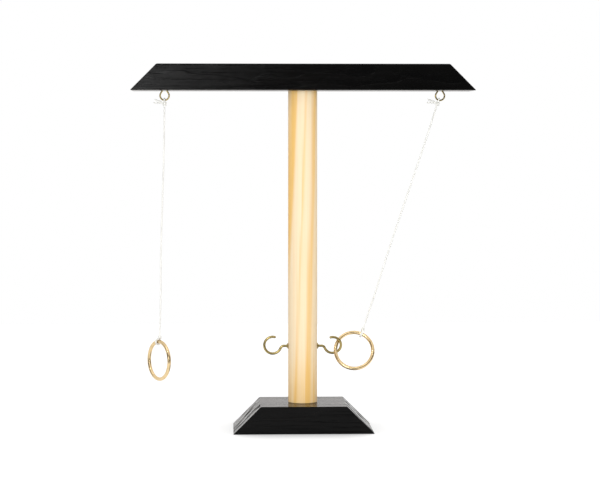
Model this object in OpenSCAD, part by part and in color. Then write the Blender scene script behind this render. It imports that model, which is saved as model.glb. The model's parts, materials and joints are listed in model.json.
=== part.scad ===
// Tabletop hook and ring toss game for two players.
// A beam on a round post carries a ring on a cord at each end, and the post has a cup hook on each side.
// Millimetres, +Z up, origin on the table under the post's axis, front face towards -Y.
// The left ring hangs free and the right one is caught on its hook.

/* [Base] */
// Length of the base along the table
base_l = 115; // [95:1:180]
// Depth of the base from front to back
base_d = 63; // [50:1:120]
// Height of the base
base_h = 22.5; // [18:0.5:40]

/* [Post] */
// Diameter of the round post
post_d = 24; // [20:0.5:36]
// Length of the post between the base and the beam
post_len = 257.5; // [245:0.5:320]

/* [Beam] */
// Length of the beam along its underside
beam_l = 281; // [260:1:360]
// Depth of the beam from front to back
beam_d = 45; // [32:1:80]
// Height of the beam
beam_h = 21.5; // [18:0.5:35]

/* [Wooden ends and edges] */
// Slope of the sawn ends of base and beam, from the horizontal
end_slope = 45; // [40:1:80]
// Width of the eased edges of the base
base_ease = 1.3; // [0.3:0.1:2]
// Width of the eased edges of the beam
beam_ease = 1.3; // [0.3:0.1:2]
// Width of the eased edge on the post's two ends
post_ease = 0.5; // [0.2:0.1:1.5]

/* [Post fixings] */
// Diameter of the hanger bolt at each end of the post
bolt_d = 6; // [4:0.5:8]
// Length of a hanger bolt inside the post
bolt_in_post = 28; // [15:1:60]
// Length of a hanger bolt inside the base or beam
bolt_in_wood = 13; // [9:0.5:15]
// Outer diameter of the threaded insert that takes the bolt
insert_d = 9; // [8.5:0.5:13]
// Length of the threaded insert
insert_len = 11; // [6:0.5:14]

/* [Screw eyes] */
// Distance of each screw eye from the end of the beam
eye_inset = 27; // [20:0.5:40]
// Diameter of the eye at the middle of its wire
eye_d = 7.4; // [6.4:0.1:9]
// Diameter of the eye's wire
eye_wire_d = 1.3; // [1:0.1:1.6]
// Distance from the beam's underside down to the eye's centre
eye_drop = 4.1; // [4:0.1:8]
// Depth of the eye's neck inside the wood
eye_sink = 2.9; // [1.5:0.1:4]
// Diameter of the eye's screw
eye_screw_d = 1.6; // [1.4:0.1:1.8]
// Length of the eye's screw above its neck
eye_screw_len = 10; // [6:0.5:12]

/* [Hooks] */
// Distance from the beam's underside down to the hooks' shanks
hook_drop = 210.9; // [205:0.1:220]
// Distance from the post's surface out to the centre of the hook's bowl
hook_reach = 12.85; // [12:0.05:16]
// Diameter of the bowl at the middle of its wire
hook_bowl_d = 13.9; // [13:0.1:15]
// Diameter of the hook's wire
hook_wire_d = 2.1; // [1.6:0.1:2.4]
// Height of the bowl's centre above the shank
hook_rise = 0.6; // [0:0.1:1.5]
// Bend radius between the shank and the bowl
hook_bend_r = 3; // [2:0.1:3.5]
// Angle at which the tip ends, counted from the outer side of the bowl over its top
hook_tip = 104; // [85:1:110]
// Length of the hook's screw inside the post
hook_screw_len = 10; // [6:0.5:10]
// Twist of the right hook about its screw, its top to the front
right_twist = 14; // [12:1:18]
// Diameter of the collar that stops the hook at the post
collar_d = 5; // [4:0.1:7]
// Thickness of the collar
collar_t = 1.2; // [0.8:0.1:2]

/* [Rings] */
// Outer diameter of a ring
ring_d = 34; // [33:0.5:36]
// Diameter of the ring's wire
ring_wire_d = 3; // [2.4:0.1:3.1]

/* [Cords] */
// Diameter of the cord
cord_d = 1.4; // [1:0.1:1.6]
// Diameter of the knot at each end of a cord
knot_d = 3.4; // [3:0.1:4]
// Length of the loose tails at the eye's knot
tail_len = 9; // [4:0.5:10]
// Distance from the left eye's centre down to the wire of its hanging ring
left_hang = 203; // [195:0.5:215]
// Lean of the left cord away from the post
left_lean = 1.4; // [0:0.1:3]
// Turn of the left ring about its cord
left_turn = -56; // [-90:1:90]

/* [Caught ring] */
// Room between the hook's outer arm and the ring's wire inside the bowl
catch_play = 1.65; // [1.5:0.05:1.8]
// Height of the caught wire against the bowl's centre
catch_rise = -1.2; // [-1.5:0.1:-1]
// Lean of the caught ring's top to the back
catch_lean = 22; // [21:1:26]
// Turn of the caught ring about the vertical
catch_turn = -1; // [-2:1:0]
// Place of the caught wire on the ring, in degrees from its top
catch_angle = -77; // [-78:1:-76]
// Place of the cord's hitch on the caught ring, in degrees from its top
hitch_angle = 24; // [18:1:30]

/* [Fits] */
// Room around screws, bolts and inserts in their holes
fit_room = 0.1; // [0.05:0.05:0.3]
// Room between pieces that swing against each other
swing_room = 0.3; // [0.2:0.05:0.5]

/* [Hidden] */
$fn = 64;
left = -1;
right = 1;

stained_black = "#1b1a19";
pine = "#f0cf95";
old_brass = "#8c7a3c";
gold = "#d8b36a";
cotton = "#f1efe8";
zinc = "#b9bcc0";

// Cuts run this much past the faces that they open.
cut_over = 1;
// A screw's point is this much longer than the screw is thick.
point_ratio = 1.5;
// A bent wire is drawn in lengths: one is this much thinner than the next and runs this far into it.
wire_step = 0.1;
wire_lap = 0.3;

post_r = post_d / 2;
beam_z = base_h + post_len;
hook_z = beam_z - hook_drop;
eye_z = beam_z - eye_drop;
eye_x = beam_l / 2 - eye_inset;

eye_r = eye_d / 2;
eye_wire_r = eye_wire_d / 2;
// The eye's legs run straight from its round part to the neck.
eye_neck = eye_drop + eye_sink;
eye_leg_turn = acos(eye_r / eye_neck);
eye_leg_len = sqrt(eye_neck * eye_neck - eye_r * eye_r);
eye_leg_spread = tan(90 - eye_leg_turn);
// The pilot hole opens in a cone that follows the legs.
eye_seat_top_r = max(eye_wire_r / sin(eye_leg_turn), eye_screw_d / 2) + fit_room;
eye_seat_low_r = eye_seat_top_r + eye_sink * eye_leg_spread;

hook_wire_r = hook_wire_d / 2;
bowl_r = hook_bowl_d / 2;
bowl_x = post_r + hook_reach;
bowl_z = hook_z + hook_rise;
// The bend's centre lies below the shank, where its arc meets the bowl's arc.
bend_z = hook_z - hook_bend_r;
bend_x = bowl_x - sqrt(pow(bowl_r + hook_bend_r, 2) - pow(bowl_z - bend_z, 2));
bend_end = atan2(bowl_z - bend_z, bowl_x - bend_x);
bend_lap = wire_lap / hook_bend_r * 180 / PI;

ring_wire_r = ring_wire_d / 2;
ring_r = ring_d / 2 - ring_wire_r;

cord_r = cord_d / 2;
knot_r = knot_d / 2;
// A loop of cord passes round the eye's wire and another round the ring's wire.
eye_loop_r = eye_wire_r + swing_room + cord_r;
ring_loop_r = ring_wire_r + swing_room + cord_r;
// A knot sits against the outside of its loop.
eye_knot_gap = eye_loop_r + knot_r - cord_r / 2;
ring_knot_gap = ring_loop_r + knot_r - cord_r / 2;

// Angles of the two loose tails above the horizontal, in the plane of the eye.
tail_angles = [24, 6];

// Both cords hang nearly straight: share of the way from the upper knot, sideways and backward sway.
cord_route = [[0, 0, 0], [0.05, 0.1, 0], [0.1, 0.2, 0.1], [0.15, 0.3, 0.1], [0.2, 0.3, 0.1],
              [0.25, 0.3, 0.2], [0.3, 0.2, 0.2], [0.35, 0.1, 0.2], [0.4, 0, 0.2], [0.45, -0.1, 0.1],
              [0.5, -0.2, 0.1], [0.55, -0.3, 0], [0.6, -0.3, 0], [0.65, -0.3, -0.1], [0.7, -0.2, -0.1],
              [0.75, -0.1, -0.1], [0.8, 0.1, -0.1], [0.85, 0.2, -0.1], [0.9, 0.2, 0], [0.95, 0.1, 0],
              [1, 0, 0]];
cord_sides = 8;
// Rings of the swept cord between one point of the route and the next.
cord_steps = 2;

function unit(v) = v / norm(v);
// A direction in the plane of the eyes, leaning towards +X from straight down.
function hang_dir(lean) = [sin(lean), 0, -cos(lean)];
// A point of the caught ring, from its centre, at an angle from its top.
function on_caught(a) = let (up = cos(a), side = sin(a))
    ring_r * [side * cos(catch_turn) - up * sin(catch_lean) * sin(catch_turn),
              side * sin(catch_turn) + up * sin(catch_lean) * cos(catch_turn),
              up * cos(catch_lean)];

left_eye = [left * eye_x, 0, eye_z];
right_eye = [right * eye_x, 0, eye_z];

// The left ring hangs from a straight cord.
left_wire = left_eye + eye_r * hang_dir(left * left_lean);
left_hitch = left_eye + left_hang * hang_dir(left * left_lean);

// The right ring stands where the hook holds it, and its cord is taut up to the eye.
catch_point = [bowl_x + bowl_r - hook_wire_r - ring_wire_r - catch_play, 0, bowl_z + catch_rise];
caught_centre = catch_point - on_caught(catch_angle);
right_hitch = caught_centre + on_caught(hitch_angle);
right_lean = atan2(right_hitch[0] - right_eye[0], right_eye[2] - right_hitch[2]);
right_wire = right_eye + eye_r * hang_dir(right_lean);

// Turns +Z to a direction and draws the children there.
module along(p, dir) {
    translate(p)
        rotate([0, acos(dir[2] / norm(dir)), atan2(dir[1], dir[0])])
            children();
}

// A round arc of wire in the XZ plane, from angle a0 to a1 counted from +X to +Z.
module wire_arc(r, wire_d, a0, a1) {
    rotate([90, 0, 0])
        rotate_extrude(angle = a1 - a0, start = a0)
            translate([r, 0])
                circle(d = wire_d);
}

// A whole ring of wire in the XZ plane.
module wire_ring(r, wire_d) {
    rotate([90, 0, 0])
        rotate_extrude()
            translate([r, 0])
                circle(d = wire_d);
}

// A pointed screw along +Z.
module screw(d, len) {
    point = d * point_ratio;
    cylinder(d = d, h = len - point);
    translate([0, 0, len - point])
        cylinder(d1 = d, d2 = 0, h = point);
}

// A wooden bar with sloping sawn ends and all its edges eased, standing on the XY plane.
module sawn_bar(l, d, h, ease) {
    half = l / 2 + ease * cos(end_slope);
    top = half - h / tan(end_slope);
    corners = [[-half, 0], [half, 0], [top, h], [-top, h]];
    inward = [for (i = [0:3]) unit(corners[(i + 1) % 4] - corners[i])];
    outline = [for (i = [0:3]) each [corners[i] - ease * inward[(i + 3) % 4],
                                     corners[i] + ease * inward[i]]];
    difference() {
        rotate([90, 0, 0])
            linear_extrude(d, center = true)
                polygon(outline);
        for (i = [0:3], face = [-1, 1]) {
            edge = corners[(i + 1) % 4] - corners[i];
            translate([corners[i][0], face * d / 2, corners[i][1]])
                rotate([0, -atan2(edge[1], edge[0]), 0])
                    rotate([45, 0, 0])
                        translate([-cut_over, -ease / sqrt(2), -ease / sqrt(2)])
                            cube([norm(edge) + 2 * cut_over, ease * sqrt(2), ease * sqrt(2)]);
        }
    }
}

// The stepped hole for an insert and the bolt beyond it, opening at the XY plane and running up.
module insert_hole() {
    translate([0, 0, -cut_over])
        cylinder(d = insert_d + 2 * fit_room, h = insert_len + fit_room + cut_over);
    cylinder(d = bolt_d + 2 * fit_room, h = bolt_in_wood + fit_room);
}

// A threaded insert, its mouth on the XY plane.
module insert() {
    difference() {
        cylinder(d = insert_d, h = insert_len);
        translate([0, 0, -cut_over])
            cylinder(d = bolt_d + 2 * fit_room, h = insert_len + 2 * cut_over);
    }
}

// A hanger bolt: machine thread up from the XY plane into the insert, wood screw down into the post.
module hanger_bolt() {
    cylinder(d = bolt_d, h = bolt_in_wood);
    rotate([180, 0, 0])
        screw(bolt_d, bolt_in_post);
}

// The pilot hole for a hanger bolt in the end of the post, running down from the XY plane.
module bolt_pilot() {
    translate([0, 0, -bolt_in_post - fit_room])
        cylinder(d = bolt_d + 2 * fit_room, h = bolt_in_post + fit_room + cut_over);
}

// Moves the children from the XY plane to the joint of post and beam, or to that of base and post.
module at_beam_joint() {
    translate([0, 0, beam_z])
        children();
}
module at_base_joint() {
    translate([0, 0, base_h])
        rotate([180, 0, 0])
            children();
}

module base() {
    color(stained_black)
        difference() {
            sawn_bar(base_l, base_d, base_h, base_ease);
            at_base_joint() insert_hole();
        }
}

module beam() {
    color(stained_black)
        difference() {
            at_beam_joint() sawn_bar(beam_l, beam_d, beam_h, beam_ease);
            at_beam_joint() insert_hole();
            for (side = [left, right])
                translate([side * eye_x, 0, beam_z])
                    eye_seat();
        }
}

// The pilot hole of a screw eye, with its cone, running up from the XY plane.
module eye_seat() {
    slope = (eye_seat_low_r - eye_seat_top_r) / eye_sink;
    translate([0, 0, -cut_over])
        cylinder(r1 = eye_seat_low_r + slope * cut_over, r2 = eye_seat_top_r, h = eye_sink + cut_over);
    cylinder(r = eye_seat_top_r, h = eye_sink + eye_screw_len + fit_room);
}

module post() {
    color(pine)
        difference() {
            translate([0, 0, base_h])
                rotate_extrude()
                    polygon([[0, 0], [post_r - post_ease, 0], [post_r, post_ease],
                             [post_r, post_len - post_ease], [post_r - post_ease, post_len], [0, post_len]]);
            at_base_joint() bolt_pilot();
            at_beam_joint() bolt_pilot();
            for (side = [left, right])
                translate([side * (post_r - hook_screw_len - fit_room), 0, hook_z])
                    rotate([0, side * 90, 0])
                        cylinder(d = hook_wire_d + 2 * fit_room, h = hook_screw_len + fit_room + cut_over);
        }
}

module base_insert() {
    color(zinc) at_base_joint() insert();
}

module beam_insert() {
    color(zinc) at_beam_joint() insert();
}

module base_bolt() {
    color(zinc) at_base_joint() hanger_bolt();
}

module beam_bolt() {
    color(zinc) at_beam_joint() hanger_bolt();
}

// A screw eye bent from one wire: a round loop, two straight legs, and a screw up into the beam.
module screw_eye(eye) {
    color(old_brass)
        translate(eye) {
            wire_arc(eye_r, eye_wire_d, 90 + eye_leg_turn, 450 - eye_leg_turn);
            for (side = [left, right])
                translate([0, 0, eye_neck])
                    rotate([0, side * (180 - (90 - eye_leg_turn)), 0])
                        cylinder(d = eye_wire_d - wire_step, h = eye_leg_len + wire_lap);
            translate([0, 0, eye_neck - eye_wire_d])
                screw(eye_screw_d, eye_screw_len + eye_wire_d);
        }
}
module left_screw_eye() { screw_eye(left_eye); }
module right_screw_eye() { screw_eye(right_eye); }

// A cup hook on the +X side of the post: screw, shank, bend, bowl and rounded tip.
module cup_hook() {
    color(old_brass) {
        translate([bend_x, 0, hook_z])
            rotate([0, -90, 0])
                screw(hook_wire_d, bend_x - post_r + hook_screw_len);
        translate([bend_x, 0, bend_z])
            wire_arc(hook_bend_r, hook_wire_d - wire_step, bend_end - bend_lap, 90 + bend_lap);
        translate([bowl_x, 0, bowl_z]) {
            wire_arc(bowl_r, hook_wire_d, bend_end - 180, hook_tip);
            translate(bowl_r * [cos(hook_tip), 0, sin(hook_tip)])
                sphere(d = hook_wire_d - wire_step);
        }
    }
}
module right_hook() {
    translate([0, 0, hook_z])
        rotate([right_twist, 0, 0])
            translate([0, 0, -hook_z])
                cup_hook();
}
module left_hook() { mirror([1, 0, 0]) cup_hook(); }

// The collar pressed on the hook's shank, flared to the post.
module hook_collar() {
    bore_r = hook_wire_r + fit_room;
    color(old_brass)
        translate([post_r, 0, hook_z])
            rotate([0, 90, 0])
                rotate_extrude()
                    polygon([[bore_r, 0], [collar_d / 2, 0], [collar_d / 2, collar_t / 3],
                             [(collar_d / 2 + bore_r) / 2, collar_t], [bore_r, collar_t]]);
}
module right_hook_collar() { hook_collar(); }
module left_hook_collar() { mirror([1, 0, 0]) hook_collar(); }

// The cord's loop round the eye's wire, its knot below, and the two loose tails to the left.
module eye_knot(wire, hitch, lean) {
    dir = unit(hitch - wire);
    knot = wire + eye_knot_gap * dir;
    color(cotton) {
        translate(wire)
            rotate([0, -lean, 0])
                rotate([0, 0, 90])
                    wire_ring(eye_loop_r, cord_d);
        translate(knot)
            sphere(r = knot_r);
        for (a = tail_angles)
            translate(knot)
                rotate([0, -90 + a, 0])
                    cylinder(r = cord_r, h = tail_len);
    }
}
module left_eye_knot() { eye_knot(left_wire, left_hitch, left * left_lean); }
module right_eye_knot() { eye_knot(right_wire, right_hitch, right_lean); }

// A tube swept along points, closed at both ends, with its sides kept square to the given direction.
module swept_cord(points, dir) {
    side = unit(cross(dir, [0, 1, 0]));
    back = cross(side, dir);
    rings = len(points);
    verts = [for (p = points, k = [0:cord_sides - 1]) let (a = 360 * k / cord_sides)
                p + cord_r * (cos(a) * side + sin(a) * back)];
    quads = [for (i = [0:rings - 2], k = [0:cord_sides - 1]) let (n = (k + 1) % cord_sides)
                [i * cord_sides + k, i * cord_sides + n, (i + 1) * cord_sides + n, (i + 1) * cord_sides + k]];
    first = [for (k = [cord_sides - 1:-1:0]) k];
    last = [for (k = [0:cord_sides - 1]) (rings - 1) * cord_sides + k];
    polyhedron(points = verts, faces = concat(quads, [first, last]));
}

// A cord between the knot at its eye and the knot at its ring.
module cord(wire, hitch) {
    dir = unit(hitch - wire);
    top = wire + (eye_knot_gap + knot_r + swing_room) * dir;
    end = hitch - (ring_knot_gap + knot_r + swing_room) * dir;
    side = unit(cross(dir, [0, 1, 0]));
    back = cross(side, dir);
    stops = len(cord_route) - 1;
    points = [for (s = [0:stops * cord_steps])
                 let (i = min(floor(s / cord_steps), stops - 1), f = s / cord_steps - i,
                      r = cord_route[i] * (1 - f) + cord_route[i + 1] * f)
                 top + r[0] * (end - top) + r[1] * side + r[2] * back];
    color(cotton)
        swept_cord(points, dir);
}
module left_cord() { cord(left_wire, left_hitch); }
module right_cord() { cord(right_wire, right_hitch); }

// The cord's loop round the ring's wire and the knot above it.
module ring_knot(wire, hitch, tangent) {
    dir = unit(hitch - wire);
    color(cotton) {
        along(hitch, tangent)
            rotate([90, 0, 0])
                wire_ring(ring_loop_r, cord_d);
        translate(hitch - ring_knot_gap * dir)
            sphere(r = knot_r);
    }
}
left_tangent = [cos(left_turn) * cos(left_lean), sin(left_turn), cos(left_turn) * sin(left_lean) * left];
module left_ring_knot() { ring_knot(left_wire, left_hitch, left_tangent); }
module right_ring_knot() { ring_knot(right_wire, right_hitch, on_caught(hitch_angle + 90)); }

module left_ring() {
    color(gold)
        translate(left_hitch)
            rotate([0, -left * left_lean, 0])
                rotate([0, 0, left_turn])
                    translate([0, 0, -ring_r])
                        wire_ring(ring_r, ring_wire_d);
}

module right_ring() {
    color(gold)
        translate(caught_centre)
            rotate([-catch_lean, 0, catch_turn])
                wire_ring(ring_r, ring_wire_d);
}

base();
post();
beam();
base_insert();
base_bolt();
beam_insert();
beam_bolt();
left_screw_eye();
right_screw_eye();
left_hook();
right_hook();
left_hook_collar();
right_hook_collar();
left_eye_knot();
right_eye_knot();
left_cord();
right_cord();
left_ring_knot();
right_ring_knot();
left_ring();
right_ring();
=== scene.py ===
"""Dresses a tabletop hook and ring toss game, laid out as a Blender add-on and run as a script.

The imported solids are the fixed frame: every piece takes its place from their boxes and joints, in metres,
with +Z up and the front towards -Y.
"""

import json
import math
import random

import bmesh
import bpy
from mathutils import Matrix, Vector


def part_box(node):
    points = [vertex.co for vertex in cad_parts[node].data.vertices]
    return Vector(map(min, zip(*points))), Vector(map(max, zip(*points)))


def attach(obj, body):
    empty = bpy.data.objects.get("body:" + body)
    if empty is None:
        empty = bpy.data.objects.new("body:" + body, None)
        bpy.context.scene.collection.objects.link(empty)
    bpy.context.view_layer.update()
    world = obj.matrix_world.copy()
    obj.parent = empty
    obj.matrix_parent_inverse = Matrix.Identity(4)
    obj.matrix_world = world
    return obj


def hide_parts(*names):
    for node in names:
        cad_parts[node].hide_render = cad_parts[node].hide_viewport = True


bl_info = {
    "name": "Ring Toss Game",
    "version": (1, 0, 0),
    "blender": (4, 5, 0),
    "location": "View3D > Sidebar > Ring Toss",
    "description": "Builds the looks of a hook and ring toss game around its packed solids",
    "category": "Add Mesh",
}

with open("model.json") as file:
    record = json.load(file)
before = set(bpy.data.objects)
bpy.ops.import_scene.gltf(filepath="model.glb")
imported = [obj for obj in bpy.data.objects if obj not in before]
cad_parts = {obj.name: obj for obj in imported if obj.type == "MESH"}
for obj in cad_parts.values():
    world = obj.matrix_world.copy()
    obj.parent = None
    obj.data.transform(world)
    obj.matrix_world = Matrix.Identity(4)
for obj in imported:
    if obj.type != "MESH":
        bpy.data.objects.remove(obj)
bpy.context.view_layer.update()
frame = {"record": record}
MM = 0.001
SIDES = ("left", "right")
SENSOR_WIDTH = 36.0
CREASE = math.radians(40)

# Sides of a tube of cord, and the share of its thickness that the cord keeps in loops, wraps and tails.
CORD_SIDES = 15
LOOP_SHARE = 0.9
WRAP_SHARE = 0.82
TAIL_SHARE = 0.92

# The cord's route, repeated from the part's source: share of the way, then sway to the side and to the back,
# both in millimetres.
CORD_ROUTE = [
    (0, 0, 0), (0.05, 0.1, 0), (0.1, 0.2, 0.1), (0.15, 0.3, 0.1), (0.2, 0.3, 0.1), (0.25, 0.3, 0.2),
    (0.3, 0.2, 0.2), (0.35, 0.1, 0.2), (0.4, 0, 0.2), (0.45, -0.1, 0.1), (0.5, -0.2, 0.1), (0.55, -0.3, 0),
    (0.6, -0.3, 0), (0.65, -0.3, -0.1), (0.7, -0.2, -0.1), (0.75, -0.1, -0.1), (0.8, 0.1, -0.1),
    (0.85, 0.2, -0.1), (0.9, 0.2, 0), (0.95, 0.1, 0), (1, 0, 0),
]


def amount(name, value, description, **kind):
    """A number that the user can change."""
    return bpy.props.FloatProperty(name=name, description=description, default=value, min=0.0, **kind)


def length(name, millimetres, description):
    """A length that the user can change, given in millimetres and kept in metres."""
    return amount(name, millimetres * MM, description, unit="LENGTH", precision=5)


def angle(name, degrees, description):
    """An angle that the user can change, given in degrees and kept in radians."""
    return bpy.props.FloatProperty(
        name=name, description=description, default=math.radians(degrees), subtype="ANGLE", unit="ROTATION"
    )


def colour(name, value, description):
    """A linear colour that the user can change."""
    return bpy.props.FloatVectorProperty(
        name=name, description=description, default=value, size=3, min=0.0, max=1.0, subtype="COLOR"
    )


class RingTossSizes(bpy.types.PropertyGroup):
    """Sizes that the boxes of the solids don't give."""

    end_slope: angle("End slope", 45, "Slope of the sawn ends of base and beam")
    beam_round: length("Beam edges", 1.8, "Radius of the sanded edges of the beam")
    base_round: length("Base edges", 1.3, "Radius of the sanded edges of the base")
    post_round: length("Post edges", 0.5, "Radius of the edges at the post's ends")
    eye_d: length("Eye", 7.4, "Diameter of a screw eye at the middle of its wire")
    eye_wire_d: length("Eye wire", 1.3, "Diameter of a screw eye's wire")
    eye_screw_d: length("Eye screw", 1.6, "Diameter of a screw eye's thread")
    eye_sink: length("Eye sink", 2.9, "Depth of a screw eye's neck inside the beam")
    hook_wire_d: length("Hook wire", 2.1, "Diameter of a hook's wire")
    hook_bowl_d: length("Hook bowl", 13.9, "Diameter of a hook's bowl at the middle of its wire")
    hook_bend_r: length("Hook bend", 3, "Bend radius between a hook's shank and its bowl")
    hook_tip: angle("Hook tip", 104, "Angle at which a hook ends, over the top of its bowl")
    right_twist: angle("Right twist", 14, "Twist of the right hook about its screw, its top to the front")
    ring_wire_d: length("Ring wire", 3, "Diameter of a ring's wire")
    cord_d: length("Cord", 1.4, "Diameter of the cord")
    cord_lay: length("Lay", 4.2, "Length in which a strand of the cord winds once round")
    knot_d: length("Knot", 3.4, "Diameter of a knot")
    loop_room: length("Loop room", 0.15, "Room between a loop of cord and the eye's wire inside it")
    hitch_room: length("Hitch room", 0.34, "Room between a hitch and the ring's wire, which turns in it")
    left_slip: length("Left slip", 2, "Distance by which the left hitch has slipped along its ring")
    tail_len: length("Tail", 9, "Length of the loose tails at an eye's knot, with their frayed ends")
    fray_len: length("Fray", 1, "Length of the longest fibres at a tail's cut end")
    bolt_d: length("Bolt", 6, "Diameter of the hanger bolts")


class RingTossColours(bpy.types.PropertyGroup):
    """Colours of the finishes."""

    stain: colour("Stain", (0.0014, 0.0014, 0.0015), "Black stain on base and beam")
    stain_worn: colour("Stain, thin", (0.0042, 0.004, 0.0038), "Stain where the late wood takes less of it")
    pine: colour("Pine", (0.95, 0.77, 0.525), "Early wood of the post")
    pine_late: colour("Pine, late wood", (0.91, 0.57, 0.185), "Late wood of the post")
    old_brass: colour("Old brass", (0.42, 0.332, 0.134), "Hooks, collars and eyes")
    gold: colour("Gold", (0.82, 0.625, 0.35), "Rings")
    cotton: colour("Cotton", (0.893, 0.889, 0.85), "Cords and knots")
    zinc: colour("Zinc", (0.6, 0.61, 0.63), "Bolts and inserts")


class RingTossStage(bpy.types.PropertyGroup):
    """Camera and light."""

    camera_at: bpy.props.FloatVectorProperty(
        name="Camera", description="Place of the camera", default=(-0.06218, -1.6, 0.24231), size=3,
        subtype="TRANSLATION", unit="LENGTH",
    )
    camera_yaw: angle("Camera yaw", 2.147, "Turn of the camera from +Y to +X")
    camera_tilt: angle("Camera tilt", 3.052, "Turn of the camera below the horizon")
    camera_lens: amount("Lens", 116.35, "Focal length in millimetres on a 36 mm wide sensor")
    key_watts: amount("Key light", 4.8, "Power of the light at the front left, in watts")
    spark_watts: amount("Spark light", 1.5, "Power of the small light at the upper left, in watts")
    top_watts: amount("Top light", 5.0, "Power of the light overhead, in watts")
    front_watts: amount("Front light", 5.4, "Power of the low light behind the camera, in watts")
    card_watts: amount("Card light", 0.09, "Power of the light thrown back by a card on the table, in watts")
    fill_watts: amount("Fill lights", 10.0, "Power of the lights at the sides, in watts")
    back_watts: amount("Back light", 12.0, "Power of the light behind, in watts")
    room_light: amount("Room light", 0.34, "Strength of the even light from all round")


def record_body(node):
    """The body that carries a node."""
    for body, nodes in frame["record"]["behaviour"]["bodies"].items():
        if node in nodes:
            return body
    raise ValueError(f"no body carries {node}")


def joint(name):
    """Place and axis of a joint, as vectors."""
    for entry in frame["record"]["behaviour"]["joints"]:
        if entry["name"] == name:
            return Vector(entry["pos_m"]), Vector(entry["axis"]).normalized()
    raise ValueError(f"there is no joint {name}")


def box_centre(node):
    """Centre of a node's box."""
    low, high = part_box(node)
    return (low + high) / 2


class Tether:
    """Where one side's cord runs: from its eye's wire, through two knots, to its ring's wire."""

    def __init__(self, side, sizes):
        self.side = side
        self.eye = box_centre(f"{side}_screw_eye")
        self.eye.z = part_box(f"{side}_screw_eye")[0].z + (sizes.eye_d + sizes.eye_wire_d) / 2
        ring_axis = "left_ring_tilt" if side == "left" else "right_ring_rock"
        self.hitch, in_plane = joint(ring_axis)
        lean = Vector((self.hitch.x - self.eye.x, 0, self.hitch.z - self.eye.z)).normalized()
        self.wire = self.eye + lean * sizes.eye_d / 2
        self.eye_tangent = Vector((0, 1, 0)).cross(-lean)
        self.down = (self.hitch - self.wire).normalized()
        self.ring_centre = box_centre(f"{side}_ring")
        self.ring_out = (self.hitch - self.ring_centre).normalized()
        self.ring_normal = self.ring_out.cross(in_plane).normalized()
        self.ring_tangent = self.ring_normal.cross(self.ring_out)
        self.ring_r = (self.hitch - self.ring_centre).length
        self.eye_knot = self.wire + self.down * (sizes.eye_wire_d + sizes.knot_d + sizes.cord_d) / 2
        self.ring_knot = self.hitch - self.down * (sizes.ring_wire_d + sizes.knot_d + sizes.cord_d) / 2


class Shape:
    """Collects the points and faces of one piece."""

    def __init__(self):
        self.verts = []
        self.faces = []

    def add(self, verts, faces):
        """Adds a closed part to the piece, and returns the shape."""
        first = len(self.verts)
        self.verts.extend(verts)
        self.faces.extend([first + i for i in face] for face in faces)
        return self

    def tube(self, points, radius, sides, closed=False, domed=False):
        """Adds a tube along points. The radius is a number or a function of distance and angle."""
        frames = carried_frames(points, closed)
        reach = distances(points)
        rings = []
        for point, (side, up), along in zip(points, frames, reach):
            ring = []
            for k in range(sides):
                turn = 2 * math.pi * k / sides
                size = radius(along, turn) if callable(radius) else radius
                ring.append(point + (side * math.cos(turn) + up * math.sin(turn)) * size)
            rings.append(ring)
        if domed:
            rings.extend(dome(points[-1], points[-1] - points[-2], rings[-1]))
        verts = [v for ring in rings for v in ring]
        faces = []
        spans = len(rings) if closed else len(rings) - 1
        for i in range(spans):
            here = i * sides
            there = (i + 1) % len(rings) * sides
            for k in range(sides):
                n = (k + 1) % sides
                faces.append([here + k, here + n, there + n, there + k])
        if not closed:
            faces.append(list(range(sides))[::-1])
            faces.append([(len(rings) - 1) * sides + k for k in range(sides)])
        return self.add(verts, faces)

    def lathe(self, profile, axis, sides):
        """Adds a closed ring turned from (radius, height) points. A radius may be a function of the angle."""
        verts = []
        for k in range(sides):
            turn = 2 * math.pi * k / sides
            for radius, height in profile:
                size = radius(turn) if callable(radius) else radius
                verts.append(axis @ Vector((size * math.cos(turn), size * math.sin(turn), height)))
        count = len(profile)
        faces = []
        for k in range(sides):
            n = (k + 1) % sides
            for i in range(count):
                j = (i + 1) % count
                faces.append([k * count + i, n * count + i, n * count + j, k * count + j])
        return self.add(verts, faces)

    def piece(self, name, node, material):
        """Makes the object, which stands for a node and moves with its body."""
        built = bmesh.new()
        verts = [built.verts.new(v) for v in self.verts]
        for face in self.faces:
            built.faces.new([verts[i] for i in face])
        return dress(name, built, CREASE, node, material)


def finish_mesh(built, crease):
    """Welds points that meet, turns faces outwards, and keeps edges sharper than the crease angle hard."""
    weld = 0.001 * MM
    bmesh.ops.remove_doubles(built, verts=built.verts, dist=weld)
    bmesh.ops.recalc_face_normals(built, faces=built.faces)
    for face in built.faces:
        face.smooth = True
    for edge in built.edges:
        edge.smooth = edge.calc_face_angle(0.0) < crease


def dress(name, built, crease, node, material):
    """Turns a built mesh into a piece that stands for a node, moves with its body and takes its slot."""
    finish_mesh(built, crease)
    mesh = bpy.data.meshes.new(name)
    built.to_mesh(mesh)
    built.free()
    piece = bpy.data.objects.new(name, mesh)
    bpy.context.scene.collection.objects.link(piece)
    mesh.materials.append(material)
    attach(piece, record_body(node))
    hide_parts(node)
    return piece


def distances(points):
    """Distance along a path at each of its points."""
    reach = [0.0]
    for a, b in zip(points, points[1:]):
        reach.append(reach[-1] + (b - a).length)
    return reach


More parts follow.
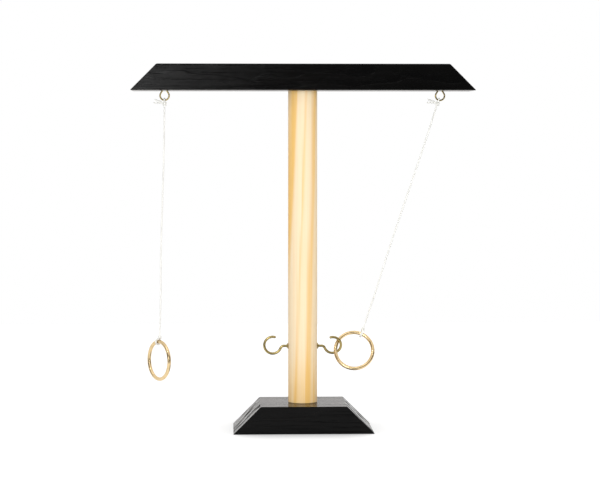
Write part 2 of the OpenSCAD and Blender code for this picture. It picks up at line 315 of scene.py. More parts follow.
def carried_frames(points, closed):
    """Two directions across the path at each point, turned as little as possible from one to the next."""
    count = len(points)
    tangents = []
    for i in range(count):
        after = points[(i + 1) % count] if closed or i < count - 1 else points[i]
        before = points[i - 1] if closed or i > 0 else points[i]
        tangents.append((after - before).normalized())
    start = Vector((0, 1, 0)) if abs(tangents[0].y) < 0.9 else Vector((1, 0, 0))
    side = (start - tangents[0] * start.dot(tangents[0])).normalized()
    frames = []
    for i, tangent in enumerate(tangents):
        if i:
            side = tangents[i - 1].rotation_difference(tangent) @ side
            side = (side - tangent * side.dot(tangent)).normalized()
        frames.append((side, tangent.cross(side)))
    return frames


def dome(end, ahead, ring):
    """Rings that close a tube's end in a round dome."""
    ahead = ahead.normalized()
    radius = sum((v - end).length for v in ring) / len(ring)
    steps, open_top = 5, 0.4
    rings = []
    for step in range(1, steps + 1):
        rise = math.pi / 2 * step / (steps + open_top)
        rings.append([end + ahead * radius * math.sin(rise) + (v - end) * math.cos(rise) for v in ring])
    return rings


def smooth_path(points, spacing):
    """A smooth curve through points, with points of its own about a spacing apart."""
    padded = [2 * points[0] - points[1]] + points + [2 * points[-1] - points[-2]]
    path = []
    for a, b, c, d in zip(padded, padded[1:], padded[2:], padded[3:]):
        steps = max(1, round((c - b).length / spacing))
        for step in range(steps):
            t = step / steps
            square = (2 * a - 5 * b + 4 * c - d) * t * t
            cube = (3 * b - a - 3 * c + d) * t**3
            path.append((2 * b + (c - a) * t + square + cube) / 2)
    path.append(points[-1])
    return path


def arc(centre, radius, start, end, steps):
    """Points on an arc in the plane of the beam's front, from one angle to another, counted from +X to +Z."""
    return [
        centre + radius * Vector((math.cos(a), 0, math.sin(a)))
        for a in (start + (end - start) * step / steps for step in range(steps + 1))
    ]


def straight(a, b, spacing):
    """Points from a to b, both included."""
    steps = max(1, round((b - a).length / spacing))
    return [a.lerp(b, step / steps) for step in range(steps + 1)]


def laid_cord(sizes, share=1.0):
    """Radius, by distance and angle, of a cord of three wound strands that keeps a share of its thickness."""
    strands = 3
    groove = 0.2

    def radius(along, turn):
        phase = strands * (turn - 2 * math.pi * along / sizes.cord_lay) / 2
        return share * sizes.cord_d / 2 * (1 - groove * math.sin(phase) ** 2)

    return radius


def screw_thread(crest, root, pitch, taper, ends_at=math.inf):
    """Radius of a pointed screw thread by distance from its point and angle, and of its plain wire beyond."""
    point_r = 0.02 * MM

    def radius(along, turn):
        if along > ends_at:
            return root
        wind = (along / pitch - turn / (2 * math.pi)) % 1.0
        ridge = max(0.0, 1 - abs(wind - 0.5) * 4)
        full = root + (crest - root) * ridge
        return max(point_r, full * min(1.0, along / taper))

    return radius


class Nodes:
    """Builds the nodes of one tree."""

    def __init__(self, tree, space):
        self.tree = tree
        self.place = self.add("ShaderNodeTexCoord").outputs[space]

    def add(self, kind, **settings):
        """Adds a node and sets its properties."""
        made = self.tree.nodes.new(kind)
        for key, value in settings.items():
            setattr(made, key, value)
        return made

    def feed(self, socket, value):
        """Links a socket to an input, or sets the input to a value."""
        if isinstance(value, bpy.types.NodeSocket):
            self.tree.links.new(value, socket)
        else:
            socket.default_value = value

    def put(self, node, **values):
        """Feeds a node's inputs, named with underscores."""
        for key, value in values.items():
            self.feed(node.inputs[key.replace("_", " ")], value)

    def made(self, kind, *values, **settings):
        """The first output of a new node, whose inputs are fed in their order."""
        node = self.add(kind, **settings)
        for socket, value in zip(node.inputs, values):
            self.feed(socket, value)
        return node.outputs[0]

    def sum(self, operation, *values):
        """A Math node's result."""
        return self.made("ShaderNodeMath", *values, operation=operation)

    def noise(self, scale, stretch=(1, 1, 1), detail=3.0):
        """Noise in the tree's space, drawn out by its stretch."""
        mapping = self.add("ShaderNodeMapping")
        self.put(mapping, Vector=self.place, Scale=stretch)
        made = self.add("ShaderNodeTexNoise")
        self.put(made, Vector=mapping.outputs["Vector"], Scale=scale, Detail=detail)
        return made.outputs["Fac"]

    def axes(self, vector=None):
        """X, Y and Z of a vector, or else of the tree's space."""
        made = self.add("ShaderNodeSeparateXYZ")
        self.feed(made.inputs[0], vector or self.place)
        return made.outputs["X"], made.outputs["Y"], made.outputs["Z"]

    def span(self, value, low, high, to_low=0.0, to_high=1.0):
        """Maps a range of values to another, smoothly and without overshoot."""
        limits = (low, high, to_low, to_high)
        return self.made("ShaderNodeMapRange", value, *limits, interpolation_type="SMOOTHSTEP")

    def mix(self, share, first, second):
        """A mix of two colours."""
        made = self.add("ShaderNodeMix", data_type="RGBA")
        self.feed(made.inputs["Factor"], share)
        for socket, value in ((made.inputs[6], first), (made.inputs[7], second)):
            self.feed(socket, value if isinstance(value, bpy.types.NodeSocket) else (*value, 1.0))
        return made.outputs[2]


class Finish(Nodes):
    """Builds the nodes of one material, in the object's own space."""

    def __init__(self, name):
        self.material = bpy.data.materials.new(name)
        self.material.use_nodes = True
        super().__init__(self.material.node_tree, "Object")
        self.shader = self.tree.nodes["Principled BSDF"]

    def bump(self, height, depth):
        """Raises the surface by a height of 0 to 1 times a depth in metres."""
        made = self.add("ShaderNodeBump")
        self.put(made, Strength=1.0, Distance=depth, Height=height)
        self.set(Normal=made.outputs["Normal"])

    def set(self, **values):
        """Feeds the shader's inputs."""
        self.put(self.shader, **values)


def stained_wood(colours, name, figure, lean, dull, layers):
    """Black stain on sawn wood: growth layers from front to back, which lean and wander with the figure.

    The sawn ends drink the stain unevenly, so there each layer is duller or glossier than the next.
    """
    finish = Finish(name)
    _, y, z = finish.axes()
    drift = finish.sum("MULTIPLY", finish.noise(24, (0.3, 1, 1), 3), figure)
    layer = finish.sum("ADD", finish.sum("ADD", y, drift), finish.sum("MULTIPLY", z, lean))
    band = finish.sum("FRACT", finish.sum("MULTIPLY", layer, layers))
    late = finish.sum("MULTIPLY", finish.span(band, 0.15, 0.8), finish.span(band, 1.0, 0.9))
    late = finish.sum("MULTIPLY", late, finish.span(finish.noise(60, (0.06, 1, 1), 2), 0.3, 0.5))
    fibre = finish.noise(1500, (0.03, 1, 1), 5)
    coarse = finish.noise(480, (0.035, 1, 1), 3)
    grain = finish.sum("ADD", finish.sum("MULTIPLY", late, 0.25), finish.sum("MULTIPLY", coarse, 0.55))
    grain = finish.sum("ADD", grain, finish.sum("MULTIPLY", fibre, 0.2))
    wander = finish.sum("MULTIPLY", finish.noise(75, (0.6, 1, 0.6), 3), 0.045)
    bent = finish.sum("FRACT", finish.sum("MULTIPLY", finish.sum("ADD", layer, wander), layers))
    streak = finish.sum("MULTIPLY", finish.span(bent, 0.3, 0.8), finish.span(bent, 1.0, 0.85))
    patchy = finish.span(finish.noise(45), 0.35, 0.65, 0.1, 0.65)
    streak = finish.sum("MULTIPLY", streak, patchy)
    facing_x, _, _ = finish.axes(finish.add("ShaderNodeNewGeometry").outputs["Normal"])
    sawn_end = finish.span(finish.sum("ABSOLUTE", facing_x), 0.4, 0.65, 0.1, 1.0)
    satin = finish.span(coarse, 0.3, 0.7, dull, 0.7 * dull)
    finish.set(
        Base_Color=finish.mix(grain, tuple(colours.stain), tuple(colours.stain_worn)),
        Roughness=finish.sum("ADD", satin, finish.sum("MULTIPLY", streak, sawn_end)),
        Specular_IOR_Level=0.1,
    )
    finish.bump(grain, 0.45 * MM)
    return finish.material


# Late wood of the post, in millimetres across the log: middle, fade to the left and to the right, strength.
LATE_WOOD = [(-19.5, 12, 3.6, 0.95), (-7.8, 2.4, 2.6, 0.45), (3.2, 5.0, 3.0, 0.75), (9.0, 1.5, 1.5, 0.15)]


def post_pine(colours):
    """Pine whose growth layers lean and draw together to the top, with fine fibres, one resin streak, and
    painted shade that turns it darker and more orange towards the foot.
    """
    finish = Finish("Post pine")
    x, y, z = finish.axes()
    lean, narrowing = 0.0282, 1.1
    fibre = finish.noise(1100, (1, 1, 0.012), 4)
    lines = finish.noise(420, (1, 1, 0.01), 2)
    wander = finish.sum("MULTIPLY", finish.sum("SUBTRACT", finish.noise(9, (1, 1, 0.8), 1), 0.5), 2 * MM)
    feather = finish.sum("MULTIPLY", finish.sum("SUBTRACT", finish.sum("ADD", fibre, lines), 1.0), 2.5 * MM)
    across = finish.sum("ADD", x, finish.sum("ADD", wander, feather))
    across = finish.sum("SUBTRACT", across, finish.sum("MULTIPLY", z, lean))
    spread = finish.sum("SUBTRACT", MM, finish.sum("MULTIPLY", z, narrowing * MM))
    across = finish.sum("DIVIDE", across, spread)
    # Painted shade: towards the foot the pine takes up to half of the late wood's darker colour, standing in
    # for the shade beside the black base.
    tone = finish.span(z, 75 * MM, 25 * MM, 0.0, 0.5)
    for middle, left, right, strength in LATE_WOOD:
        rise = finish.span(across, middle - left, middle, 0.0, strength)
        band = finish.sum("MULTIPLY", rise, finish.span(across, middle + right, middle))
        tone = finish.sum("ADD", tone, band)
    streak_x, streak_z = -8.1 * MM, 225 * MM
    streak_half_x, streak_half_z = 0.7 * MM, 9 * MM
    off_x = finish.sum("DIVIDE", finish.sum("SUBTRACT", x, streak_x), streak_half_x)
    off_z = finish.sum("DIVIDE", finish.sum("SUBTRACT", z, streak_z), streak_half_z)
    off = finish.sum("ADD", finish.sum("MULTIPLY", off_x, off_x), finish.sum("MULTIPLY", off_z, off_z))
    streak = finish.sum("MULTIPLY", finish.span(off, 1.0, 0.2, 0.0, 0.4), finish.sum("LESS_THAN", y, 0.0))
    tone = finish.sum("ADD", tone, streak)
    tone = finish.sum("ADD", tone, finish.sum("MULTIPLY", finish.sum("SUBTRACT", lines, 0.45), 0.9))
    tone = finish.sum("ADD", tone, finish.sum("MULTIPLY", finish.sum("SUBTRACT", fibre, 0.45), 0.5))
    finish.set(
        Base_Color=finish.mix(tone, tuple(colours.pine), tuple(colours.pine_late)),
        Roughness=finish.span(fibre, 0.2, 0.8, 0.46, 0.62),
        Specular_IOR_Level=0.3,
    )
    finish.bump(fibre, 0.03 * MM)
    return finish.material


def wire_metal(name, tone, low, high):
    """Plated wire with faint drawing marks and dull patches."""
    finish = Finish(name)
    patches = finish.noise(240, detail=4)
    marks = finish.noise(2600, detail=2)
    dull = tuple(0.82 * c for c in tone)
    finish.set(
        Base_Color=finish.mix(finish.span(patches, 0.35, 0.75), tuple(tone), dull),
        Metallic=1.0,
        Roughness=finish.span(patches, 0.3, 0.75, low, high),
    )
    finish.bump(marks, 0.002 * MM)
    return finish.material


def cotton_cord(colours):
    """Soft white cotton with fibres that catch the light."""
    finish = Finish("Cotton cord")
    fluff = finish.noise(5200, detail=3)
    soil = finish.noise(320, detail=2)
    shade = tuple(0.98 * c for c in colours.cotton)
    finish.set(
        Base_Color=finish.mix(finish.span(soil, 0.4, 0.8), tuple(colours.cotton), shade),
        Roughness=finish.span(fluff, 0.3, 0.7, 0.8, 0.95),
        Sheen_Weight=0.3,
        Specular_IOR_Level=0.2,
    )
    finish.bump(fluff, 0.035 * MM)
    return finish.material


MATERIALS = {}


def material(key, make, *values):
    """One material for all pieces of a finish."""
    if key not in MATERIALS:
        MATERIALS[key] = make(*values)
    return MATERIALS[key]


def old_brass(context):
    """The dull plate that eyes, hooks and collars share."""
    tone = context.scene.ring_toss_colours.old_brass
    return material("old_brass", wire_metal, "Old brass", tone, 0.15, 0.27)


# Each lamp's name, place, size, power setting, share of that power, and whether it shows in reflections.
LAMPS = (
    ("Key light", (-0.34, -1.5, 0.38), (0.34, 0.48), "key_watts", 1.0, True),
    ("Spark light", (-0.95, -1.05, 1.15), (0.14, 0.14), "spark_watts", 1.0, True),
    ("Top light", (0.1, -0.25, 1.7), (1.6, 1.2), "top_watts", 1.0, True),
    ("Front light", (0.0, -1.75, 0.12), (1.2, 0.6), "front_watts", 1.0, False),
    ("Card light", (0.0, -0.3, 0.05), (0.3, 0.06), "card_watts", 1.0, False),
    ("Left fill light", (-1.3, -0.8, 0.25), (1.0, 1.0), "fill_watts", 0.96, False),
    ("Right fill light", (1.3, -0.9, 0.2), (1.0, 1.0), "fill_watts", 1.22, False),
    ("Back light", (0.2, 1.5, 1.1), (1.0, 1.0), "back_watts", 1.0, False),
)
LAMP_AIM = Vector((0, 0, 0.15))


class RINGTOSS_OT_stage(bpy.types.Operator):
    """Sets up the camera, the pale floor and the soft light"""

    bl_idname = "ringtoss.stage"
    bl_label = "Stage"

    def execute(self, context):
        stage = context.scene.ring_toss_stage
        context.scene.view_settings.view_transform = "Standard"
        self.camera(context, stage)
        self.floor(context)
        self.room(context, stage)
        for name, at, size, setting, share, mirrored in LAMPS:
            self.lamp(context, name, at, size, share * getattr(stage, setting), mirrored)
        return {"FINISHED"}

    def camera(self, context, stage):
        lens = bpy.data.cameras.new("Camera")
        lens.lens = stage.camera_lens
        lens.sensor_fit = "HORIZONTAL"
        lens.sensor_width = SENSOR_WIDTH
        camera = bpy.data.objects.new("Camera", lens)
        camera.location = stage.camera_at
        camera.rotation_euler = (math.pi / 2 - stage.camera_tilt, 0, -stage.camera_yaw)
        context.scene.collection.objects.link(camera)
        context.scene.camera = camera

    def floor(self, context):
        """A flat card, a hair below the base."""
        half_x, front, back, drop = 0.9, -0.6, 0.9, 0.05 * MM
        mesh = bpy.data.meshes.new("Floor")
        plan = ((-half_x, front), (half_x, front), (half_x, back), (-half_x, back))
        mesh.from_pydata([(x, y, -drop) for x, y in plan], [], [(0, 1, 2, 3)])
        floor = bpy.data.objects.new("Floor", mesh)
        context.scene.collection.objects.link(floor)
        mesh.materials.append(self.floor_finish())

    def floor_finish(self):
        """Pale card that shows white but keeps the lamps' shadow, and whose glow dims near the object in a
        painted contact shadow.
        """
        finish = Finish("Pale floor")
        shadow_reach, shadow_depth, glow_strength = 30 * MM, 1.2, 0.72
        grain = finish.noise(30, detail=2)
        finish.set(
            Base_Color=finish.mix(grain, (0.45, 0.45, 0.45), (0.46, 0.46, 0.458)),
            Roughness=0.9,
            Specular_IOR_Level=0.0,
        )
        # Painted contact shadow: ambient occlusion near the object dims the glow that makes the floor white.
        near = finish.add("ShaderNodeAmbientOcclusion", samples=8)
        finish.put(near, Distance=shadow_reach)
        painted_shadow_glow_share = finish.sum("POWER", near.outputs["AO"], shadow_depth)
        glow = finish.add("ShaderNodeEmission")
        finish.put(glow, Strength=finish.sum("MULTIPLY", painted_shadow_glow_share, glow_strength))
        plain = finish.shader.outputs[0]
        both = finish.made("ShaderNodeAddShader", plain, glow.outputs[0])
        picked = finish.made("ShaderNodeMixShader", seen(finish), plain, both)
        finish.put(finish.tree.nodes["Material Output"], Surface=picked)
        return finish.material

    def room(self, context, stage):
        """White all round where it is seen, apart from the dim room at eye level behind the camera."""
        world = bpy.data.worlds.new("Studio")
        world.use_nodes = True
        context.scene.world = world
        white, warm_white, dim_grey = (1.0, 1.0, 1.0), (1.0, 0.975, 0.955), (0.03, 0.03, 0.03)
        room = Nodes(world.node_tree, "Generated")
        _, y, z = room.axes()
        behind = room.span(y, 0.4, -0.1)
        level = room.span(room.sum("ABSOLUTE", z), 0.6, 0.25)
        dim = room.sum("MULTIPLY", behind, level)
        glossy = room.mix(dim, warm_white, dim_grey)
        rays = room.add("ShaderNodeLightPath")
        shown = room.mix(rays.outputs["Is Camera Ray"], glossy, white)
        sky = room.tree.nodes["Background"]
        room.put(sky, Color=shown)
        light = room.add("ShaderNodeBackground")
        room.put(light, Strength=stage.room_light)
        picked = room.made("ShaderNodeMixShader", seen(room), light.outputs[0], sky.outputs[0])
        room.put(room.tree.nodes["World Output"], Surface=picked)

    def lamp(self, context, name, at, size, watts, mirrored):
        """A soft lamp, which may be left out of reflections as a light behind cloth is."""
        data = bpy.data.lights.new(name, "AREA")
        data.shape = "RECTANGLE"
        data.size, data.size_y = size
        data.energy = watts
        lamp = bpy.data.objects.new(name, data)
        lamp.location = at
        lamp.visible_glossy = mirrored
        aim = LAMP_AIM - Vector(at)
        lamp.rotation_euler = aim.to_track_quat("-Z", "Y").to_euler()
        context.scene.collection.objects.link(lamp)


def seen(tree):
    """1 for the rays of the camera and of reflections and glass, so that metal shows the white room too."""
    rays = tree.add("ShaderNodeLightPath")
    glossy = tree.sum("MAXIMUM", rays.outputs["Is Camera Ray"], rays.outputs["Is Glossy Ray"])
    return tree.sum("MAXIMUM", glossy, rays.outputs["Is Transmission Ray"])


class RINGTOSS_OT_knots(bpy.types.Operator):
    """Ties the loops, knots and tails at both ends of the cords"""

    bl_idname = "ringtoss.knots"
    bl_label = "Knots"

    def execute(self, context):
        sizes = context.scene.ring_toss_sizes
        cotton = material("cotton", cotton_cord, context.scene.ring_toss_colours)
        for side in SIDES:
            tether = Tether(side, sizes)
            self.eye_knot(tether, sizes).piece(f"{side}_eye_tie", f"{side}_eye_knot", cotton)
            self.ring_knot(tether, sizes).piece(f"{side}_ring_tie", f"{side}_ring_knot", cotton)
        return {"FINISHED"}

    def eye_knot(self, tether, sizes):
        """One turn round the eye's wire, the knot under it, and its two tails."""
        shape = Shape()
        reach = sizes.eye_wire_d / 2 + sizes.loop_room + sizes.cord_d / 2 * LOOP_SHARE
        self.loop(shape, tether.wire, tether.down, tether.eye_tangent, reach, tether.eye_knot, 1, sizes)
        self.wraps(shape, tether.eye_knot, tether.down, sizes)
        random.seed(len(tether.side))
        for degrees, back in ((24, -0.35 * MM), (6, 0.4 * MM)):
            rise = math.radians(degrees)
            root = tether.eye_knot + Vector((0, back, 0))
            tip = root + (sizes.tail_len - sizes.fray_len) * Vector((-math.cos(rise), 0, math.sin(rise)))
            self.tail(shape, root, tip, sizes)
        return shape

    def ring_knot(self, tether, sizes):
        """Two turns round the ring's wire, slipped a little on the left, and the knot over them."""
        shape = Shape()
        reach = sizes.ring_wire_d / 2 + sizes.hitch_room + sizes.cord_d / 2 * LOOP_SHARE
        up = -tether.down - tether.ring_tangent * (-tether.down).dot(tether.ring_tangent)
        slip = sizes.left_slip if tether.side == "left" else 0.0
        wrap = tether.hitch - tether.ring_tangent * slip - tether.ring_out * slip**2 / (2 * tether.ring_r)
        self.loop(shape, wrap, up.normalized(), tether.ring_tangent, reach, tether.ring_knot, 2, sizes)
        self.wraps(shape, tether.ring_knot, tether.down, sizes)
        return shape

    def loop(self, shape, wire, towards, along, reach, knot, turns, sizes):
        """Cord from the knot round a wire and back, once or more, each turn beside the last."""
        across = along.cross(towards).normalized()
        open_half, leg_half, least_shift, points_per_turn = math.radians(48), 0.3 * MM, 0.35, 14
        start, stop = open_half, 2 * math.pi * turns - open_half
        step = sizes.cord_d * 0.95
        leg = across * leg_half + along * 0.5 * step * (turns - 1)
        count = points_per_turn * turns
        path = [knot - leg]
        for i in range(count + 1):
            share = i / count
            turn = start + (stop - start) * share
            shift = (share - 0.5) * step * max(turns - 1, least_shift)
            path.append(wire + (towards * math.cos(turn) - across * math.sin(turn)) * reach + along * shift)
        path.append(knot + leg)
        shape.tube(smooth_path(path, 0.25 * MM), laid_cord(sizes, LOOP_SHARE), CORD_SIDES)

    def wraps(self, shape, knot, down, sizes):
        """The cord's end wound round itself and drawn tight."""
        turns, count = 2.4, 40
        thick = sizes.cord_d / 2 * WRAP_SHARE
        rise_per_turn = thick * 1.55
        unevenness = 0.08
        buried = 0.2
        reach = sizes.knot_d / 2 - thick
        side = down.cross(Vector((0, 1, 0))).normalized()
        back = side.cross(down)
        path = []
        for i in range(count + 1):
            turn = 2 * math.pi * turns * i / count
            rise = (i / count - 0.5) * turns * rise_per_turn
            swell = reach * (1 + unevenness * math.sin(3.1 * turn))
            path.append(knot + down * rise + (side * math.cos(turn) + back * math.sin(turn)) * swell)
        path.insert(0, knot + (path[0] - knot) * buried)
        path.append(knot + (path[-1] - knot) * buried)
        shape.tube(smooth_path(path, 0.2 * MM), laid_cord(sizes, WRAP_SHARE), CORD_SIDES)

    def tail(self, shape, start, tip, sizes):
        """A loose end that arches a little and frays at its cut."""
        arch = Vector((0, 0, 0.35 * MM))
        path = [start, start.lerp(tip, 0.35) + arch, start.lerp(tip, 0.7) + arch * 0.6, tip]
        shape.tube(smooth_path(path, 0.25 * MM), laid_cord(sizes, TAIL_SHARE), CORD_SIDES)
        ahead = (tip - start).normalized()
        fibres, fibre_r, buried, bundle_r, bow = 14, 0.09 * MM, 0.4 * MM, 0.28 * MM, 0.08 * MM
        for _ in range(fibres):
            spread = Vector((random.uniform(-1, 1), random.uniform(-1, 1), random.uniform(-1, 1)))
            spread -= ahead * spread.dot(ahead)
            root = tip - ahead * buried + spread * bundle_r
            reach = random.uniform(0.4, 1.0) * sizes.fray_len
            flare = random.uniform(0.4, 0.75) * MM
            end = tip + ahead * reach + spread * flare
            shape.tube([root, root.lerp(end, 0.5) + ahead * bow, end], fibre_r, sides=5)


class RINGTOSS_OT_cords(bpy.types.Operator):
    """Runs the two cords from their eyes to their rings"""

    bl_idname = "ringtoss.cords"
    bl_label = "Cords"

    def execute(self, context):
        sizes = context.scene.ring_toss_sizes
        cotton = material("cotton", cotton_cord, context.scene.ring_toss_colours)
        for side in SIDES:
            tether = Tether(side, sizes)
            path = self.route(tether, sizes)
            shape = Shape().tube(path, laid_cord(sizes), CORD_SIDES)
            cord = shape.piece(f"{side}_laid_cord", f"{side}_cord", cotton)
        return {"FINISHED"}

    def route(self, tether, sizes):
        """The route of the solid, carried on into the two knots."""
        inside = sizes.knot_d / 2
        top = tether.eye_knot + tether.down * inside
        end = tether.ring_knot - tether.down * inside
        side = tether.down.cross(Vector((0, 1, 0))).normalized()
        back = side.cross(tether.down)
        points = []
        for share, sway, lag in CORD_ROUTE:
            points.append(top + (end - top) * share + side * sway * MM + back * lag * MM)
        points.insert(0, tether.eye_knot - tether.down * inside * 0.5)
        points.append(tether.ring_knot + tether.down * inside * 0.5)
        return smooth_path(points, 0.35 * MM)


class RINGTOSS_OT_wood(bpy.types.Operator):
    """Makes the base and the beam with their sloping ends and sanded edges"""

    bl_idname = "ringtoss.wood"
    bl_label = "Base and beam"

    def execute(self, context):
        sizes = context.scene.ring_toss_sizes
        colours = context.scene.ring_toss_colours
        for node, round_r, figure, lean, dull, layers in (
            ("base", sizes.base_round, 0.025, -0.25, 0.13, 48),
            ("beam", sizes.beam_round, 0.05, 0.7, 0.2, 130),
        ):
            name = f"Black stained {node}"
            wood = material(node, stained_wood, colours, name, figure, lean, dull, layers)
            self.bar(node, round_r, sizes.end_slope, wood)
        return {"FINISHED"}

    def bar(self, node, round_r, slope, wood):
        """A bar with sloping ends that fills its node's box."""
        low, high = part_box(node)
        half = (high.x - low.x) / 2
        top = half - (high.z - low.z) / math.tan(slope)
        mid = (low.x + high.x) / 2
        built = bmesh.new()
        outline = [(mid - half, low.z), (mid + half, low.z), (mid + top, high.z), (mid - top, high.z)]
        front = [built.verts.new((x, low.y, z)) for x, z in outline]
        back = [built.verts.new((x, high.y, z)) for x, z in outline]
        built.faces.new(front)
        built.faces.new(back[::-1])
        for i in range(4):
            j = (i + 1) % 4
            built.faces.new((front[j], front[i], back[i], back[j]))
        bmesh.ops.bevel(
            built, geom=built.edges[:], offset=round_r, offset_type="WIDTH", segments=4, profile=0.5,
            affect="EDGES", clamp_overlap=True,
        )
        # Rounding takes a little off the pointed ends, so both ends move out to the bar's full length.
        lost = half - (max(v.co.x for v in built.verts) - mid)
        for v in built.verts:
            v.co.x += math.copysign(lost, v.co.x - mid)
        piece = dress(f"{node}_bar", built, math.pi, node, wood)
        flat = piece.modifiers.new("Flat faces", "WEIGHTED_NORMAL")
        flat.keep_sharp = True


class RINGTOSS_OT_post(bpy.types.Operator):
    """Turns the round post"""

    bl_idname = "ringtoss.post"
    bl_label = "Post"

    def execute(self, context):
        sizes = context.scene.ring_toss_sizes
        pine = material("pine", post_pine, context.scene.ring_toss_colours)
        low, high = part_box("post")
        radius = (high.x - low.x) / 2
        ease = sizes.post_round
        shoulder = radius - ease
        axis_r = 0.0005 * MM
        turns = [math.pi / 2 * step / 4 for step in range(5)]
        curve = [(ease * math.sin(turn), ease * math.cos(turn)) for turn in turns]
        profile = [(axis_r, low.z)]
        profile += [(shoulder + sine, low.z + ease - cosine) for sine, cosine in curve]
        profile += [(shoulder + cosine, high.z - ease + sine) for sine, cosine in curve]
        profile.append((axis_r, high.z))
        axis = Matrix.Translation((low.x + radius, (low.y + high.y) / 2, 0))
        Shape().lathe(profile, axis, sides=128).piece("post_dowel", "post", pine)
        return {"FINISHED"}


class RINGTOSS_OT_eyes(bpy.types.Operator):
    """Bends the two screw eyes from wire"""

    bl_idname = "ringtoss.eyes"
    bl_label = "Screw eyes"

    def execute(self, context):
        sizes = context.scene.ring_toss_sizes
        brass = old_brass(context)
        for side in SIDES:
            self.eye(side, sizes).piece(f"{side}_eye_wire", f"{side}_screw_eye", brass)
        return {"FINISHED"}

    def eye(self, side, sizes):
        """A screw whose wire leaves its neck, goes round in a loop and comes back to it."""
        low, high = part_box(f"{side}_screw_eye")
        reach = sizes.eye_d / 2
        centre = Vector(((low.x + high.x) / 2, 0, low.z + reach + sizes.eye_wire_d / 2))
        neck = Vector((centre.x, 0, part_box("beam")[0].z + sizes.eye_sink))
        point = Vector((centre.x, 0, high.z))
        open_half = math.acos(reach / (neck.z - centre.z))
        up = math.pi / 2
        bend = 1.1 * MM
        loop = arc(centre, reach, up - open_half, open_half - 3 * up, 48)
        lead = (loop[0] - neck).normalized()
        path = straight(point, neck + Vector((0, 0, bend)), 0.12 * MM)
        ends_at = (path[-1] - path[0]).length
        path += [neck + Vector((0, 0, bend * 0.3)) + lead * bend * 0.3]
        path += straight(neck + lead * bend, loop[0], 0.4 * MM)
        path += loop[1:]
        end_share = 0.86
        path += straight(loop[-1], loop[-1].lerp(neck, end_share), 0.4 * MM)[1:]
        crest, root = sizes.eye_screw_d / 2, sizes.eye_wire_d / 2
        thread = screw_thread(crest, root, pitch=0.8 * MM, taper=2.4 * MM, ends_at=ends_at)
        return Shape().tube(path, thread, sides=16, domed=True)


class RINGTOSS_OT_hooks(bpy.types.Operator):
    """Bends the two cup hooks and presses their collars on"""

    bl_idname = "ringtoss.hooks"
    bl_label = "Hooks and collars"

    def execute(self, context):
        sizes = context.scene.ring_toss_sizes
        brass = old_brass(context)
        for side in SIDES:
            self.hook(side, sizes).piece(f"{side}_hook_wire", f"{side}_hook", brass)
            self.collar(side).piece(f"{side}_hook_flange", f"{side}_hook_collar", brass)
        return {"FINISHED"}

    def hook(self, side, sizes):
        """A screw and shank that bend down into an open bowl."""
        # The left hook stands upright, so its box gives the height of both bowls.
        low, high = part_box("left_hook")
        outer = max(abs(low.x), abs(high.x))
        inner = min(abs(low.x), abs(high.x))
        thick = sizes.hook_wire_d / 2
        bowl_r = sizes.hook_bowl_d / 2
        bowl = Vector((outer - bowl_r - thick, 0, low.z + bowl_r + thick))
        shank_z = box_centre(f"{side}_hook_collar").z
        bend_z = shank_z - sizes.hook_bend_r
        span = bowl_r + sizes.hook_bend_r
        bend = Vector((bowl.x - math.sqrt(span**2 - (bowl.z - bend_z) ** 2), 0, bend_z))
        meet = math.atan2(bowl.z - bend.z, bowl.x - bend.x)
        face = min(abs(x) for x in (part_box(f"{side}_hook_collar")[0].x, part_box(f"{side}_hook_collar")[1].x))
        screw_end = face - 0.6 * MM
        path = straight(Vector((inner, 0, shank_z)), Vector((screw_end, 0, shank_z)), 0.14 * MM)
        ends_at = screw_end - inner
        path += straight(Vector((screw_end, 0, shank_z)), Vector((bend.x, 0, shank_z)), 0.4 * MM)[1:]
        path += arc(bend, sizes.hook_bend_r, math.pi / 2, meet, 12)[1:]
        path += arc(bowl, bowl_r, meet - math.pi, sizes.hook_tip, 72)[1:]
        if side == "left":
            path = [Vector((-p.x, p.y, p.z)) for p in path]
        else:
            shank = Vector((0, 0, shank_z))
            twist = Matrix.Rotation(sizes.right_twist, 3, "X")
            path = [shank + twist @ (p - shank) for p in path]
        thread = screw_thread(thick, thick, pitch=1.0 * MM, taper=2.6 * MM, ends_at=ends_at)
        return Shape().tube(path, thread, sides=20, domed=True)

    def collar(self, side):
        """A small flange with a rounded shoulder."""
        low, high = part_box(f"{side}_hook_collar")
        out = 1 if high.x > 0 else -1
        thick = high.x - low.x
        rim = (high.z - low.z) / 2
        bore = rim * 0.44
        profile = [
            (bore, 0), (rim - 0.15 * MM, 0), (rim, 0.15 * MM), (rim, thick * 0.3), (rim * 0.96, thick * 0.42),
            (rim * 0.82, thick * 0.52), (rim * 0.7, thick * 0.72), (rim * 0.64, thick * 0.94),
            (rim * 0.58, thick), (bore, thick),
        ]
        at = Vector((low.x if out > 0 else high.x, 0, (low.z + high.z) / 2))
        turn = Matrix.Rotation(out * math.pi / 2, 4, "Y")
        return Shape().lathe(profile, Matrix.Translation(at) @ turn, sides=48)


class RINGTOSS_OT_rings(bpy.types.Operator):
    """Makes the two rings, one hanging free and one caught"""

    bl_idname = "ringtoss.rings"
    bl_label = "Rings"

    def execute(self, context):
        sizes = context.scene.ring_toss_sizes
        colours = context.scene.ring_toss_colours
        gold = material("gold", wire_metal, "Gold ring wire", colours.gold, 0.14, 0.26)
        count = 160
        for side in SIDES:
            tether = Tether(side, sizes)
            path = []
            for i in range(count):
                turn = 2 * math.pi * i / count
                out = tether.ring_out * math.cos(turn) + tether.ring_tangent * math.sin(turn)
                path.append(tether.ring_centre + out * tether.ring_r)
            shape = Shape().tube(path, sizes.ring_wire_d / 2, sides=24, closed=True)
            shape.piece(f"{side}_toss_ring_wire", f"{side}_ring", gold)
        return {"FINISHED"}


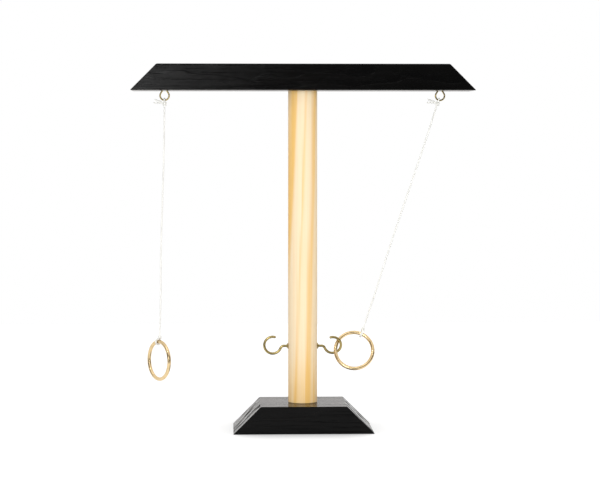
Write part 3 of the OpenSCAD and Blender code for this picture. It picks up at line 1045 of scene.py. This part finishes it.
class RINGTOSS_OT_fixings(bpy.types.Operator):
    """Cuts the threads of the bolts and inserts inside the wood"""

    bl_idname = "ringtoss.fixings"
    bl_label = "Bolts and inserts"

    def execute(self, context):
        sizes = context.scene.ring_toss_sizes
        zinc = material("zinc", wire_metal, "Zinc plate", context.scene.ring_toss_colours.zinc, 0.3, 0.45)
        for end in ("base", "beam"):
            self.bolt(end, sizes).piece(f"{end}_hanger_bolt", f"{end}_bolt", zinc)
            self.insert(end, sizes).piece(f"{end}_threaded_insert", f"{end}_insert", zinc)
        return {"FINISHED"}

    def bolt(self, end, sizes):
        """A hanger bolt: a wood screw in the post and a machine thread in the insert."""
        low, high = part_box(f"{end}_bolt")
        point = Vector((0, 0, high.z if end == "base" else low.z))
        head = Vector((0, 0, low.z if end == "base" else high.z))
        joint_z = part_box("post")[0 if end == "base" else 1].z
        wood = abs(joint_z - point.z)
        crest = sizes.bolt_d / 2
        screw = screw_thread(crest, root=crest * 0.72, pitch=2.4 * MM, taper=6 * MM)
        machine = screw_thread(crest, root=crest * 0.84, pitch=1.0 * MM, taper=0.5 * MM)

        def radius(along, turn):
            return screw(along, turn) if along < wood else machine(along, turn)

        return Shape().tube(straight(point, head, 0.2 * MM), radius, sides=24)

    def insert(self, end, sizes):
        """A sleeve with a coarse thread outside and a bore for the bolt."""
        low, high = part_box(f"{end}_insert")
        crest = (high.x - low.x) / 2
        core = crest * 0.88
        bore = sizes.bolt_d / 2 * 1.04
        outer = screw_thread(crest, root=core, pitch=2.5 * MM, taper=0.5 * MM)
        heights = [point.z for point in straight(Vector((0, 0, low.z)), Vector((0, 0, high.z)), 0.25 * MM)]

        def wall(height):
            return lambda turn: max(outer(height - low.z + crest, turn), core)

        profile = [(wall(height), height) for height in heights]
        profile += [(bore, height) for height in reversed(heights)]
        return Shape().lathe(profile, Matrix.Identity(4), sides=32)


class RINGTOSS_PT_panel(bpy.types.Panel):
    """Lists the game's pieces and what can be changed on them"""

    bl_idname = "RINGTOSS_PT_panel"
    bl_label = "Ring Toss"
    bl_space_type = "VIEW_3D"
    bl_region_type = "UI"
    bl_category = "Ring Toss"

    def draw(self, context):
        for operator in OPERATORS:
            self.layout.operator(operator.bl_idname)
        for name, kind in GROUPS:
            group = getattr(context.scene, name)
            for setting in kind.__annotations__:
                self.layout.prop(group, setting)


OPERATORS = (
    RINGTOSS_OT_stage,
    RINGTOSS_OT_knots,
    RINGTOSS_OT_cords,
    RINGTOSS_OT_wood,
    RINGTOSS_OT_post,
    RINGTOSS_OT_eyes,
    RINGTOSS_OT_hooks,
    RINGTOSS_OT_rings,
    RINGTOSS_OT_fixings,
)
GROUPS = (
    ("ring_toss_sizes", RingTossSizes),
    ("ring_toss_colours", RingTossColours),
    ("ring_toss_stage", RingTossStage),
)


def register():
    for name, group in GROUPS:
        bpy.utils.register_class(group)
        setattr(bpy.types.Scene, name, bpy.props.PointerProperty(type=group))
    for operator in OPERATORS:
        bpy.utils.register_class(operator)
    bpy.utils.register_class(RINGTOSS_PT_panel)


def unregister():
    bpy.utils.unregister_class(RINGTOSS_PT_panel)
    for operator in reversed(OPERATORS):
        bpy.utils.unregister_class(operator)
    for name, group in reversed(GROUPS):
        delattr(bpy.types.Scene, name)
        bpy.utils.unregister_class(group)


def main():
    register()
    for operator in OPERATORS:
        group, name = operator.bl_idname.split(".")
        getattr(getattr(bpy.ops, group), name)()


if __name__ == "__main__":
    main()
